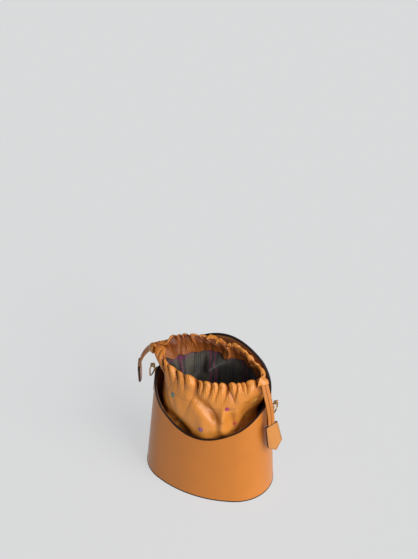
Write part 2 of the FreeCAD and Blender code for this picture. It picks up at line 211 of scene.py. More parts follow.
def leather(name, base, roughness=0.42, grain=1.0, blotch=0.12, coat=0.12, crease_shading=False):
    """Smooth calf: mottled tone, a fine pebble grain with pores, and slightly uneven gloss. With crease
    shading on, painted shade darkens the leather in its creases, by the mesh's own values."""
    material = new_material(name, base, roughness, Coat_Weight=coat, Coat_Roughness=0.3,
                            Specular_IOR_Level=0.34)
    cloud = texture(material, "ShaderNodeTexNoise", Scale=28.0, Detail=4.0)
    tones = colour_by(material, cloud, [(0.3, tone(base, 1 - blotch)), (0.55, base),
                                        (0.8, tone(base, 1 + blotch))])
    # Painted shade: the colour is multiplied by a ramp over the mesh's crease-shade values, darkest in the
    # creases.
    if crease_shading:
        mark = add(material, "ShaderNodeAttribute", attribute_name="painted_crease_shade")
        crease_shade_tint = ramp(material, mark, [(0.0, (1.0, 1.0, 1.0)), (0.45, (0.84, 0.78, 0.74)),
                                     (1.0, (0.42, 0.29, 0.24))])
        both = add(material, "ShaderNodeMix", data_type="RGBA", blend_type="MULTIPLY")
        both.inputs["Factor"].default_value = 1.0
        material.node_tree.links.new(tones.outputs["Color"], both.inputs[6])
        material.node_tree.links.new(crease_shade_tint.outputs["Color"], both.inputs[7])
        join(material, both, 2, "Base Color")
    gloss_by(material, cloud, roughness - 0.06, roughness + 0.08)
    pebble = texture(material, "ShaderNodeTexVoronoi", Scale=1500.0)
    fine = texture(material, "ShaderNodeTexNoise", Scale=900.0, Detail=3.0)
    low = add(material, "ShaderNodeBump", [("Height", (fine, "Fac"))], Strength=0.12 * grain, Distance=0.0003)
    high = add(material, "ShaderNodeBump", [("Height", (pebble, "Distance")), ("Normal", (low, "Normal"))],
               Strength=0.16 * grain, Distance=0.0003)
    join(material, high, "Normal", "Normal")
    return material


def paint():
    """Edge paint: near-black brown, with a faint brushed unevenness."""
    base = (0.012, 0.006, 0.005)
    material = new_material("edge_paint", base, 0.5, Specular_IOR_Level=0.25)
    cloud = texture(material, "ShaderNodeTexNoise", Scale=250.0, Detail=3.0)
    colour_by(material, cloud, [(0.35, tone(base, 0.8)), (0.75, tone(base, 1.9))])
    bump_by(material, cloud, 0.2, 0.0004)
    return material


def brass():
    base = (0.56, 0.37, 0.15)
    material = new_material("polished_brass", base, 0.2, Metallic=1.0)
    cloud = texture(material, "ShaderNodeTexNoise", Scale=160.0, Detail=4.0)
    colour_by(material, cloud, [(0.3, tone(base, 0.82)), (0.7, base)])
    gloss_by(material, cloud, 0.12, 0.3)
    return material


def thread(name, base):
    """Twisted thread: fine slanting bands."""
    material = new_material(name, base, 0.55, Sheen_Weight=0.3)
    twist = texture(material, "ShaderNodeTexWave", Scale=900.0, Distortion=1.0)
    colour_by(material, twist, [(0.2, tone(base, 0.7)), (0.8, tone(base, 1.2))])
    bump_by(material, twist, 0.3, 0.0002)
    return material


def stripes(material, axis, period, bands, ground):
    """Repeating stripes along one axis of the UV map, which is in metres; bands are
    (start, end, colour) as shares of the period."""
    uv = add(material, "ShaderNodeTexCoord")
    split = add(material, "ShaderNodeSeparateXYZ", [("Vector", (uv, "UV"))])
    share = add(material, "ShaderNodeMath", [(0, (split, axis))], operation="DIVIDE")
    share.inputs[1].default_value = period
    loop = add(material, "ShaderNodeMath", [(0, (share, "Value"))], operation="FRACT")
    stops = [(0.0, ground)]
    for start, end, colour in bands:
        stops += [(start, colour), (end, ground)]
    made = ramp(material, loop, stops, "Value")
    made.color_ramp.interpolation = "CONSTANT"
    return made


def plaid():
    """Woven cotton plaid: crossing stripes, mixed as warp and weft, over a fine twill."""
    material = new_material("plaid_cotton", (0.06, 0.05, 0.045), 0.85, Sheen_Weight=0.25)
    ground = (0.075, 0.066, 0.050)
    plum, navy, olive = (0.20, 0.012, 0.09), (0.010, 0.010, 0.018), (0.12, 0.105, 0.055)
    bands = [(0.04, 0.13, navy), (0.16, 0.20, plum), (0.22, 0.27, navy), (0.29, 0.34, plum),
             (0.47, 0.485, olive), (0.60, 0.63, navy), (0.65, 0.68, navy), (0.70, 0.73, navy),
             (0.75, 0.78, navy)]
    warp = stripes(material, "X", 0.056, bands, ground)
    weft = stripes(material, "Y", 0.062, bands, ground)
    mixed = add(material, "ShaderNodeMix", data_type="RGBA")
    links = material.node_tree.links
    mixed.inputs["Factor"].default_value = 0.3
    links.new(warp.outputs["Color"], mixed.inputs[6])
    links.new(weft.outputs["Color"], mixed.inputs[7])
    join(material, mixed, 2, "Base Color")
    uv = add(material, "ShaderNodeTexCoord")
    rows = add(material, "ShaderNodeTexWave", [("Vector", (uv, "UV"))], Scale=420.0,
               bands_direction="DIAGONAL")
    bump_by(material, rows, 0.35, 0.0003)
    return material


def board():
    material = new_material("bag_board", (0.35, 0.28, 0.2), 0.9)
    fibre = texture(material, "ShaderNodeTexNoise", Scale=300.0, Detail=5.0)
    colour_by(material, fibre, [(0.3, (0.28, 0.22, 0.15)), (0.7, (0.4, 0.33, 0.24))])
    return material


SHELL_LEATHER = leather("shell_calf", (0.56, 0.185, 0.024), roughness=0.32, grain=0.4, blotch=0.04, coat=0.0)
TAB_LEATHER = leather("tab_calf", (0.50, 0.19, 0.035), grain=0.8)
POUCH_LEATHER = leather("pouch_lambskin", (0.66, 0.245, 0.040), roughness=0.3, grain=0.8, blotch=0.10,
                        coat=0.12, crease_shading=True)
FACING_LEATHER = leather("pouch_facing_leather", (0.31, 0.092, 0.017), roughness=0.48, coat=0.0,
                         crease_shading=True)
LACE_LEATHER = leather("lace_leather", (0.52, 0.18, 0.028), roughness=0.5, grain=0.8, coat=0.0)
TAG_LEATHER = leather("tag_calf", (0.58, 0.23, 0.045), roughness=0.36, grain=0.6)
LINING_LEATHER = leather("shell_lining_suede", (0.30, 0.11, 0.035), roughness=0.7, grain=1.2, coat=0.0)
PAINT, BRASS, PLAID, BOARD = paint(), brass(), plaid(), board()
STITCH = thread("tan_thread", (0.42, 0.2, 0.08))


# ---- meshes ----------------------------------------------------------------

def piece(name, vertices, faces, material, body, replaced=(), uv=None, painted_crease_shade=None):
    """A mesh piece from millimetres, on its body, in its slot; without a body it is left unparented."""
    mesh = bpy.data.meshes.new(name)
    mesh.from_pydata([tuple(float(c) * MM for c in v) for v in vertices], [],
                     [tuple(map(int, f)) for f in faces])
    mesh.validate()
    mesh.update()
    if uv is not None:
        layer = mesh.uv_layers.new(name="UVMap")
        corners = np.empty(len(mesh.loops), dtype=int)
        mesh.loops.foreach_get("vertex_index", corners)
        layer.data.foreach_set("uv", np.asarray(uv)[corners].astype(np.float32).ravel())
    # Per-vertex painted shade, which the crease-shaded leathers multiply into their colour.
    if painted_crease_shade is not None:
        mark = mesh.attributes.new("painted_crease_shade", "FLOAT", "POINT")
        mark.data.foreach_set("value", np.asarray(painted_crease_shade, dtype=np.float32).ravel())
    mesh.materials.append(material)
    mesh.polygons.foreach_set("use_smooth", [True] * len(mesh.polygons))
    made = place_object(name, mesh)
    if body:
        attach(made, body)
    if replaced:
        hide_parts(*replaced)
    return made


def grid_faces(rows, columns, looped=False):
    """Quads over rows x columns of vertices. The last column joins the first, and so does the last
    row when looped."""
    faces = []
    for row in range(rows if looped else rows - 1):
        low, high = row * columns, (row + 1) % rows * columns
        for column in range(columns):
            after = (column + 1) % columns
            faces.append((low + column, low + after, high + after, high + column))
    return faces


def capped_faces(rows, columns):
    """The same quads with a cap over the first row and one over the last."""
    caps = [tuple(range(columns))[::-1], tuple(range((rows - 1) * columns, rows * columns))]
    return grid_faces(rows, columns) + caps


def turned(faces, turn=True):
    return [face[::-1] for face in faces] if turn else faces


def circle(count):
    return np.arange(count) / count * 2 * math.pi


def unit(vectors):
    return vectors / np.linalg.norm(vectors, axis=-1, keepdims=True)


def around(line):
    """Vectors from the point before to the point after, along a closed line."""
    return np.roll(line, -1, 0) - np.roll(line, 1, 0)


def smoothstep(t):
    t = np.clip(t, 0, 1)
    return t * t * (3 - 2 * t)


def oval(half_length, half_depth, corner, share):
    """Points and outward normals of a four-centre oval, by share of its length, counter-clockwise
    from the front middle."""
    big = (half_length ** 2 + half_depth ** 2 - 2 * half_length * corner) / (2 * (half_depth - corner))
    half = math.atan2(half_length - corner, big - half_depth)
    side = math.pi / 2 - half
    long_arc, end_arc = 2 * big * half, 2 * corner * side
    breaks = np.array([0, long_arc / 2, long_arc / 2 + end_arc, 1.5 * long_arc + end_arc,
                       1.5 * long_arc + 2 * end_arc, 2 * long_arc + 2 * end_arc])
    angles = np.array([-math.pi / 2, -side, side, math.pi - side, math.pi + side, 1.5 * math.pi])
    angle = np.interp(np.mod(share, 1.0) * breaks[-1], breaks, angles)
    nx, ny = np.cos(angle), np.sin(angle)
    on_end = np.abs(ny) < math.sin(side)
    reach = np.where(on_end, corner, big)
    x = reach * nx + np.where(on_end, np.sign(nx) * (half_length - corner), 0)
    y = reach * ny + np.where(on_end, 0, np.sign(ny) * (half_depth - big))
    return x, y, nx, ny, breaks[-1]


def tube(points, widths, thicks, across, sides, shape=None):
    """Vertices and faces of a closed tube along points; across is its width direction, and shape
    gives the section as (share of half width, share of half thickness) for each angle."""
    points = np.array(points, dtype=float)
    along = unit(np.gradient(points, axis=0))
    side = np.array(across, dtype=float) * np.ones_like(points)
    side = unit(side - along * (side * along).sum(1)[:, None])
    up = np.cross(along, side)
    section = np.array([shape(t) if shape else (math.cos(t), math.sin(t)) for t in circle(sides)])
    sizes = zip(np.broadcast_to(widths, len(points)) / 2, np.broadcast_to(thicks, len(points)) / 2)
    vertices = [point + section[:, :1] * half_width * wide + section[:, 1:] * half_thick * thick
                for point, wide, thick, (half_width, half_thick) in zip(points, side, up, sizes)]
    return np.concatenate(vertices), capped_faces(len(points), sides)


def merge(parts):
    """Several (vertices, faces) as one."""
    vertices, faces, start = [], [], 0
    for some, quads in parts:
        vertices.append(np.asarray(some, dtype=float))
        faces += [tuple(i + start for i in quad) for quad in quads]
        start += len(some)
    return np.concatenate(vertices), faces


# ---- laces, first because their routes are fixed ---------------------------

def tag_turn(side):
    yaw, lean = (math.radians(value) for value in TAGS[side])
    return np.array(Matrix.Rotation(yaw, 3, "Z") @ Matrix.Rotation(lean, 3, "Y"))


def lace_section(t):
    """Flat lace with rounded edges and a groove along the middle of each face."""
    x = math.copysign(abs(math.cos(t)) ** 0.75, math.cos(t))
    y = math.copysign(abs(math.sin(t)) ** 0.7, math.sin(t))
    return x, y * (1 - 0.38 * math.exp(-(x / 0.22) ** 2))


def lace(side, end, sign):
    name = f"lace_{side}_{end}_leather"
    shift = tag_turn(side)[:, 0] * sign * LACE_SIDE
    points = [Vector(np.array(point) + shift) * MM for point in ROUTES[side]]
    curve = bpy.data.curves.new(name + "_line", "CURVE")
    curve.dimensions = "3D"
    curve.resolution_u = 16
    spline = curve.splines.new("NURBS")
    spline.points.add(len(points) - 1)
    for target, point in zip(spline.points, points):
        target.co = (*point, 1)
    spline.order_u = 3
    spline.use_endpoint_u = True
    line = bpy.data.objects.new(name + "_line", curve)
    mesh = bpy.data.meshes.new_from_object(line)
    path = [vertex.co.copy() for vertex in mesh.vertices]
    bpy.data.objects.remove(line)
    sampled = np.array(path) / MM
    vertices, faces = tube(sampled, LACE_WIDTH, LACE_THICK, tag_turn(side)[:, 0], 32, lace_section)
    made = piece(name, vertices, faces, LACE_LEATHER, f"tail_{side}", [f"lace_{side}_{end}"])
    length = sum((b - a).length for a, b in zip(path, path[1:]))
    return made, path, length


# ---- tags ------------------------------------------------------------------

def rounded_outline(corners, inset, radius, steps=5):
    """Convex outline (counter-clockwise corners) moved in by inset, its corners rounded."""
    count = len(corners)
    lines = []
    for i in range(count):
        a, b = np.array(corners[i], float), np.array(corners[(i + 1) % count], float)
        d = (b - a) / np.linalg.norm(b - a)
        n = np.array([d[1], -d[0]])
        lines.append((n, a @ n))
    points = []
    for i in range(count):
        (n0, c0), (n1, c1) = lines[i - 1], lines[i]
        middle = np.linalg.solve(np.array([n0, n1]), np.array([c0, c1]) - inset - radius)
        a0, a1 = math.atan2(n0[1], n0[0]), math.atan2(n1[1], n1[0])
        if a1 < a0:
            a1 += 2 * math.pi
        for k in range(steps + 1):
            t = a0 + (a1 - a0) * k / steps
            points.append(middle + radius * np.array([math.cos(t), math.sin(t)]))
    return np.array(points)


def plate(corners, levels, radius=1.4):
    """Plate from loops (inset, height), with a cap over the first and one over the last."""
    loops = []
    for inset, height in levels:
        outline = rounded_outline(corners, inset, max(radius - inset * 0.5, 0.3))
        loops.append(np.column_stack([outline, np.full(len(outline), height)]))
    return np.concatenate(loops), capped_faces(len(loops), len(loops[0]))


def stitch_row(points, normals, length, gap, thick):
    """Short raised threads along a line of points."""
    points = np.array(points, float)
    steps = np.linalg.norm(np.diff(points, axis=0), axis=1)
    total = np.concatenate([[0], np.cumsum(steps)])
    parts = []
    at = gap / 2
    while at + length < total[-1]:
        spots = np.linspace(at, at + length, 5)
        line = np.array([[np.interp(s, total, points[:, k]) for k in range(3)] for s in spots])
        up = np.array([np.interp(at, total, np.array(normals)[:, k]) for k in range(3)])
        lift = np.array([-0.12, 0.16, 0.2, 0.16, -0.12])
        line = line + lift[:, None] * up
        sizes = [thick * 0.6, thick, thick, thick, thick * 0.6]
        parts.append(tube(line, sizes, sizes, np.cross(up, line[-1] - line[0]), 8))
        at += length + gap
    return merge(parts)


def tag(side):
    turn = tag_turn(side)
    place = np.array(ROUTES[side][-1])
    half_top, half_wide = TAG_TOP / 2, TAG_WIDE / 2
    corners = [(-half_top, 0), (-half_wide, -TAG_SHOULDER), (0, -TAG_LONG), (half_wide, -TAG_SHOULDER),
               (half_top, 0)]

    def placed(vertices, outward):
        local = np.column_stack([vertices[:, 0], vertices[:, 2] * outward, vertices[:, 1]])
        return local @ turn.T + place

    made = []
    for leaf, outward in (("outer", -1), ("inner", 1)):
        levels = [(0.5, 0.0), (0.15, 0.3), (0.15, 1.2), (0.6, TAG_LEAF - 0.2), (1.5, TAG_LEAF),
                  (2.6, TAG_LEAF - 0.05), (3.1, TAG_LEAF - 0.32), (3.6, TAG_LEAF - 0.05),
                  (5.0, TAG_LEAF + 0.25), (8.0, TAG_LEAF + 0.4)]
        vertices, faces = plate(corners, levels)
        faces = turned(faces, outward > 0)
        made.append(piece(f"tag_{side}_{leaf}_leather", placed(vertices, outward), faces, TAG_LEATHER,
                          f"tail_{side}", [f"tag_{side}_{leaf}_leaf"]))
        ring = rounded_outline(corners, 1.9, 0.8)
        ring = np.vstack([ring, ring[:1]])
        flat = np.column_stack([ring, np.full(len(ring), TAG_LEAF)])
        threads, quads = stitch_row(flat, np.tile([0, 0, 1.0], (len(flat), 1)), 1.7, 0.8, 0.4)
        quads = turned(quads, outward > 0)
        made.append(piece(f"tag_{side}_{leaf}_stitches", placed(threads, outward), quads, STITCH,
                          f"tail_{side}"))
    band = [(0.1, -TAG_LEAF + 0.5), (-0.2, -TAG_LEAF + 0.9), (-0.32, 0.0), (-0.2, TAG_LEAF - 0.9),
            (0.1, TAG_LEAF - 0.5)]
    vertices, faces = plate(corners, band)
    made.append(piece(f"tag_{side}_painted_edge", placed(vertices, -1), faces, PAINT, f"tail_{side}",
                      [f"tag_{side}_edge_paint"]))
    return made


def tails():
    for side in ("right", "left"):
        on_end = tag(side)
        for end, sign in (("front", -1), ("back", 1)):
            made, path, length = lace(side, end, sign)


# ---- bucket ----------------------------------------------------------------

def bucket_outline(share, height, proud=0.0):
    inset = (height - PANEL) * LEAN - proud
    columns = [oval(HALF_LENGTH - i, HALF_DEPTH - i, END_ROUND - i, np.array([s]))[:4]
               for s, i in zip(share, np.broadcast_to(inset, share.shape))]
    return [np.array([column[k][0] for column in columns]) for k in range(4)]


def rim_height(share):
    """Height of the slanted rim at a share of the outline."""
    height = np.full(share.shape, RIM_MID)
    for _ in range(6):
        y = bucket_outline(share, height)[1]
        level = np.sign(y) * np.abs(y / (HALF_DEPTH - (height - PANEL) * LEAN)) ** (SECTION_POWER / 2)
        height = RIM_MID + RIM_RISE * level + RIM_BOW * level ** 2 + RIM_HOOK * level ** 3
    return height


def bucket():
    columns, rows = 288, 40
    share = np.arange(columns) / columns
    rim = rim_height(share)

    def wall(depth, low):
        sheet = []
        for row in range(rows):
            height = low + (rim - low) * row / (rows - 1)
            sheet.append(np.column_stack([*bucket_outline(share, height, -depth)[:2], height]))
        return sheet

    for name, outside, inside, low, material, slot, node in (
            ("bucket_leather", 0.0, 1.4, 0.6, SHELL_LEATHER, "shell_leather", "shell_outer_leather"),
            ("bucket_board", 1.42, 2.38, PANEL, BOARD, "board", "shell_stiffener"),
            ("bucket_lining", 2.42, WALL, PANEL, LINING_LEATHER, "shell_lining", "shell_lining")):
        skin = np.concatenate(wall(outside, low) + wall(inside, low)[::-1])
        piece(name, skin, grid_faces(2 * rows, columns), material, "root", [node])

    # Painted rim: a rounded band over the wall's edge, square to the slanted rim.
    x, y, nx, ny = bucket_outline(share, rim)
    line = np.column_stack([x, y, rim])
    out = unit(np.column_stack([nx, ny, np.full(columns, LEAN)]))
    up = np.cross(out, unit(around(line)))
    section = [(0.05, -0.6), (0.2, -0.4), (0.2, 0.1), (-0.05, 0.45), (-0.6, 0.6), (-1.6, 0.65), (-2.6, 0.6),
               (-3.25, 0.5), (-3.5, 0.1), (-3.52, -1.1), (-3.3, -1.5)]
    loops = [line + out * across + up * lift for across, lift in section]
    piece("bucket_rim_paint", np.concatenate(loops), grid_faces(len(loops), columns), PAINT, "root",
          ["rim_edge_paint"])

    # Base: leather panel with a rounded edge, and its painted edge.
    def ring(inset, height):
        outline = oval(HALF_LENGTH - inset, HALF_DEPTH - inset, END_ROUND - inset, share)[:2]
        return np.column_stack([*outline, np.full(columns, height)])

    levels = [(57.6, 0.0), (30, 0.0), (3.0, 0.0), (0.6, 0.02), (0.05, 0.25), (0.0, 0.6), (0.0, 1.3),
              (0.4, 1.6), (4.0, 1.6)]
    loops = [ring(inset, height) for inset, height in levels]
    faces = grid_faces(len(loops), columns) + [tuple(range(columns))[::-1]]
    piece("base_leather", np.concatenate(loops), faces, SHELL_LEATHER, "root",
          ["base_outer_panel"])
    levels = [(0.2, 0.12), (-0.15, 0.3), (-0.36, 0.75), (-0.36, 1.5), (-0.15, 2.1), (0.25, 2.3)]
    loops = [ring(inset, height) for inset, height in levels]
    piece("base_painted_edge", np.concatenate(loops), grid_faces(len(loops), columns), PAINT, "root",
          ["base_edge_paint"])


# ---- hardware --------------------------------------------------------------

def wall_place(y, z, proud, sign):
    """Point on the end wall at a given y and height, that far out, and its normal."""
    inset = (z - PANEL) * LEAN
    r = END_ROUND - inset
    x = (HALF_LENGTH - inset - r) + math.sqrt(max(r * r - y * y, 0))
    n = unit(np.array([math.sqrt(1 - (y / r) ** 2), y / r, LEAN]))
    mirror = np.array([sign, 1, 1])
    return (np.array([x, y, z]) + n * proud) * mirror, n * mirror


def end_tab(side, sign):
    half, low, high, thick = 8.0, 124.0, 163.0, TAB_THICK
    corners = [(-half, low), (half, low), (half, high), (-half, high)]
    levels = [(0.3, 0.05), (0.0, 0.4), (0.0, thick - 0.7), (0.35, thick - 0.2), (1.0, thick), (2.4, thick),
              (2.8, thick - 0.25), (3.2, thick), (5.0, thick + 0.1)]
    vertices, faces = plate(corners, levels, 2.5)
    warped = np.array([wall_place(y, z, h, sign)[0] for y, z, h in vertices])
    piece(f"end_tab_{side}_leather", warped, turned(faces, sign < 0), TAB_LEATHER, "root",
          [f"end_tab_{side}"])
    band, quads = plate(corners, [(0.2, 0.5), (-0.22, 0.8), (-0.25, thick - 1.0), (0.15, thick - 0.55)], 2.5)
    warped = np.array([wall_place(y, z, h, sign)[0] for y, z, h in band])
    uncapped = turned(quads[:-2], sign < 0)
    piece(f"end_tab_{side}_edge", warped, uncapped, PAINT, "root")
    ring = rounded_outline(corners, 1.7, 1.4)
    ring = np.vstack([ring, ring[:1]])
    dense = np.concatenate([np.linspace(a, b, 6)[:-1] for a, b in zip(ring, ring[1:])])
    spots = [wall_place(y, z, thick, sign) for y, z in dense]
    threads, quads = stitch_row([s[0] for s in spots], [s[1] for s in spots], 2.0, 0.9, 0.5)
    piece(f"end_tab_{side}_stitches", threads, quads, STITCH, "root")


def lathe(profile, place, axis):
    """Solid of revolution: profile is (distance along, radius)."""
    sides = 32
    axis = unit(np.array(axis, float))
    first = unit(np.cross(axis, [0, 1, 0] if abs(axis[1]) < 0.9 else [1, 0, 0]))
    second = np.cross(axis, first)
    angles = circle(sides)[:, None]
    loops = [np.array(place) + axis * d + r * (np.cos(angles) * first + np.sin(angles) * second)
             for d, r in profile]
    return np.concatenate(loops), capped_faces(len(profile), sides)


def wire_loop(points, radius, across):
    """Closed round wire along a closed line of points."""
    sides = 16
    points = np.array(points, float)
    side = np.tile(np.array(across, float), (len(points), 1))
    up = np.cross(unit(around(points)), side)
    angles = circle(sides)[:, None]
    vertices = np.concatenate([p + radius * (np.cos(angles) * s + np.sin(angles) * u)
                               for p, s, u in zip(points, side, up)])
    return vertices, grid_faces(len(points), sides, looped=True)


def hardware(side, sign):
    """Brass eye on its plate, and the ring that hangs from it."""
    foot, normal = wall_place(0, RING_HEIGHT - PLATE_BELOW, TAB_THICK, sign)
    flange = lathe([(-0.2, 4.2), (0.3, 4.5), (0.8, 4.4), (1.15, 3.9), (1.3, 2.6), (1.5, 2.2), (2.2, 1.8)],
                   foot, normal)
    ring_centre = np.array([sign * RING_REACH, 0, RING_HEIGHT])
    start = foot + normal * 1.0
    end = ring_centre + np.array([-sign * 1.2, 0, -2.5])
    path = [start + (end - start) * t for t in np.linspace(0, 1, 6)]
    taper = [3.2, 2.8, 2.6, 2.5, 2.4, 2.2]
    post = tube(path, taper, taper, (0, 1, 0), 20)
    bend = [ring_centre + EYE_ROUND * np.array([math.cos(t), 0, math.sin(t)]) for t in circle(40)]
    eye = wire_loop(bend, EYE_WIRE, (0, 1, 0))
    vertices, faces = merge([flange, post, eye])
    piece(f"ring_eye_{side}_brass", vertices, faces, BRASS, "root", [f"ring_eye_{side}"])

    corners = [(-RING_HALF, -RING_DROP), (RING_HALF, -RING_DROP), (RING_HALF, 0), (-RING_HALF, 0)]
    outline = rounded_outline(corners, 0.0, RING_CORNER, 10)
    line = []
    for a, b in zip(outline, np.roll(outline, -1, 0)):
        line += [a, (a + b) / 2] if np.linalg.norm(b - a) > 2.5 else [a]
    points = [np.array([sign * RING_REACH, y, RING_HEIGHT + z]) for y, z in line]
    vertices, faces = wire_loop(points, RING_WIRE, (1, 0, 0))
    piece(f"end_ring_{side}_brass", vertices, faces, BRASS, f"ring_{side}", [f"end_ring_{side}"])


# ---- pouch -----------------------------------------------------------------

def level_points(level, share):
    a, b, r, cx, cy, cz, tilt = level
    x, y, _, _, length = oval(a, b, r, share)
    lean = math.radians(tilt)
    return np.column_stack([x + cx, y * math.cos(lean) + cy, y * math.sin(lean) + cz]), length


COLUMNS = 720
SHARE = np.arange(COLUMNS) / COLUMNS
RINGS = [level_points(level, SHARE)[0] for level in (FLOOR, STRAIGHT, SEAM, MOUTH)]
MOUTH_LENGTH = level_points(MOUTH, SHARE)[1]


def body_line(t):
    """Undented pouch skin at t: 0 floor, 1 top of the straight part, 2 seam, 3 mouth."""
    if t <= 1:
        return RINGS[0] + (RINGS[1] - RINGS[0]) * t
    k = (t - 1) / 2
    # Quadratic through the straight part, the seam and the mouth.
    a, b, c = RINGS[1], RINGS[2], RINGS[3]
    weights = ((1 - k) * (1 - 2 * k), 4 * k * (1 - k), k * (2 * k - 1))
    return weights[0] * a + weights[1] * b + weights[2] * c


def creases(average, spread, seed):
    """Places of the gathers' creases, as shares of the mouth's length."""
    rng = random.Random(seed)
    places, at = [], 0.0
    while at < MOUTH_LENGTH:
        places.append(at / MOUTH_LENGTH)
        at += average * (1 + spread * (rng.random() * 2 - 1))
    if (1 - places[-1]) * MOUTH_LENGTH < average * 0.5:
        places.pop()
    return np.array(places)


def lobes(places, share, sharp=0.48):
    """Puffs between creases: 0 at each crease, 1 in the middle, scaled by each puff's width."""
    edges = np.concatenate([places, [places[0] + 1]])
    spot = np.mod(share - places[0], 1.0) + places[0]
    index = np.clip(np.searchsorted(edges, spot, side="right") - 1, 0, len(places) - 1)
    width = edges[index + 1] - edges[index]
    t = (spot - edges[index]) / width
    return np.sin(math.pi * np.clip(t, 0, 1)) ** sharp, width * MOUTH_LENGTH


FINE = creases(12.0, 0.5, 3)
MEDIUM = FINE[::2]
COARSE = FINE[::4]


def slack(share):
    """How freely the band puffs: full along the sides, little at the two drawn ends."""
    across = np.abs(np.cos(2 * math.pi * share))
    return 0.3 + 0.7 * np.clip(across * 1.7, 0, 1)


# Fine creases: (waves round the mouth, slant per millimetre, phase, depth).
CREASES = [(RNG.randrange(48, 150), RNG.uniform(-0.16, 0.16), RNG.uniform(0, 2 * math.pi),
            RNG.uniform(0.3, 0.8)) for _ in range(7)]


def wrinkles(share, depth):
    """Narrow slanting creases that fade out below the band."""
    total = np.zeros_like(share)
    for waves, slant, phase, deep in CREASES:
        wander = 1.3 * np.sin(2 * math.pi * share * 5 + phase + depth * 0.07)
        ridge = 1 - np.abs(np.sin(math.pi * waves * share + slant * depth + phase + wander))
        total -= deep * ridge ** 5
    return total * np.exp(-(depth / 27.0) ** 2)


def gathers(share, depth):
    """Outward puff of the skin, in millimetres, that far below the mouth's edge."""
    fine, fine_width = lobes(FINE, share + 0.0007 * depth * np.sin(share * 4 * math.pi + 0.5))
    medium, medium_width = lobes(MEDIUM, share + 0.0010 * depth * np.sin(share * 12 * math.pi))
    coarse, coarse_width = lobes(COARSE, share + 0.0012 * depth * np.sin(share * 8 * math.pi + 1), 0.8)
    puff = 0.45 * (fine - 0.64) * fine_width * np.exp(-(depth / 16.0) ** 2)
    puff += 0.12 * (medium - 0.6) * medium_width * np.exp(-(depth / 26.0) ** 2)
    puff += 0.08 * (coarse - 0.6) * coarse_width * np.exp(-((depth - 8) / 34.0) ** 2)
    return (puff + wrinkles(share, depth)) * slack(share)


def frill_lean(share):
    """How far each puff of the frill leans along the mouth, in millimetres."""
    rng = random.Random(11)
    middles = (FINE + np.append(FINE[1:], FINE[0] + 1)) / 2
    leans = np.array([rng.uniform(-3.2, 3.2) for _ in middles])
    return np.interp(share, middles, leans, period=1.0)


def sway(share):
    """Slow waviness of the whole band, in and out."""
    turn = 2 * math.pi * share
    wave = 0.6 * np.sin(3 * turn + 0.6) + 0.6 * np.sin(7 * turn + 2.1) + 0.5 * np.sin(11 * turn + 4.0)
    return (wave - 0.8) * slack(share)


# Soft folds of the pouch's walls: (x, z) of both ends, width, and depth. A fold goes
# inwards, or stands out where its depth is negative.
WALL_FOLDS = [((-62, 112), (-16, 92), 17, 19.0), ((-22, 180), (34, 136), 7, 8.5),
              ((35, 157), (35, 128), 5, -5.5), ((46, 156), (50, 122), 7, 9.5),
              ((70, 174), (64, 122), 11, 16.0), ((-82, 182), (-73, 136), 11, 8.0),
              ((-56, 168), (-34, 134), 9, -3.0), ((4, 142), (12, 112), 9, -3.0),
              ((20, 112), (48, 104), 10, 5.0), ((58, 104), (82, 130), 12, 19.0),
              ((88, 166), (80, 118), 15, 19.0), ((-92, 132), (-86, 94), 14, 14.0),
              ((8, 166), (24, 142), 4, 3.0), ((22, 152), (30, 118), 5, 2.6), ((-50, 164), (-40, 140), 5, 2.2)]


def folds(points, mirrored):
    """Inward depth of the folds, seen square to the front, or mirrored and higher for the back."""
    depth = np.zeros(len(points))
    flat = points[:, [0, 2]]
    for (x0, z0), (x1, z1), width, deep in WALL_FOLDS:
        a, b = np.array([x0, z0], float), np.array([x1, z1], float)
        if mirrored:
            a, b = a * [-0.9, 1] + [0, 22], b * [-0.9, 1] + [0, 22]
        d = b - a
        t = np.clip(((flat - a) @ d) / (d @ d), 0, 1)
        gap = np.linalg.norm(flat - (a + t[:, None] * d), axis=1)
        fade = np.sin(math.pi * np.clip(0.15 + 0.7 * t, 0, 1))
        depth += deep * fade * np.exp(-(gap / width) ** 2)
    return depth


# The left end of the mouth is drawn together from this x on, over this run.
DRAWN_FROM, DRAWN_RUN = -72.0, 15.0
# The rows of the skin, as places on body_line, and the row of the seam.
STEPS = np.concatenate([np.linspace(0, 1, 9)[:-1], np.linspace(1, 3, 110)])
SEAM_ROW = int(np.argmin(np.abs(STEPS - 2.0)))


def row_normals(rows):
    return unit(np.cross(np.roll(rows, -1, 1) - np.roll(rows, 1, 1), np.gradient(rows, axis=0)))


def sample(grid, row, column):
    """Values of a rows x columns grid at fractional rows and columns, one of each per point."""
    r = np.clip(np.floor(row).astype(int), 0, len(grid) - 2)
    c = np.floor(column).astype(int)
    v, u = (row - r)[:, None], (column - c)[:, None]
    c, after = c % COLUMNS, (c + 1) % COLUMNS
    low = (1 - u) * grid[r, c] + u * grid[r, after]
    high = (1 - u) * grid[r + 1, c] + u * grid[r + 1, after]
    return (1 - v) * low + v * high


def pouch_surface():
    """The pouch's wall before it is gathered: its rows, floor to mouth, dented by the folds, with the
    smooth normals, the distance below the mouth, and the columns that a gather crosses per
    millimetre so that it runs square to the mouth's edge."""
    rows = np.array([body_line(t) for t in STEPS])
    normals = row_normals(rows)
    below = np.linalg.norm(rows - rows[-1], axis=2)
    upward = unit(rows[-1] - rows[-12])
    tangent = around(rows[-1])
    spacing = np.linalg.norm(tangent, axis=1) / 2
    slant = (upward * tangent).sum(1) / (2 * spacing ** 2) * slack(SHARE)
    blur = np.hanning(61) / np.hanning(61).sum()
    slant = np.clip(slant, -0.4, 0.4)
    slant = np.convolve(np.concatenate([slant[-30:], slant, slant[:30]]), blur, "valid")
    for i in range(len(rows)):
        back = smoothstep(0.5 + rows[i][:, 1] / 24)
        dent = folds(rows[i], False) * (1 - back) + folds(rows[i], True) * back
        rows[i] = rows[i] - normals[i] * (dent * np.clip((below[i] - 6) / 22, 0, 1))[:, None]
    return rows, normals, below, upward, slant


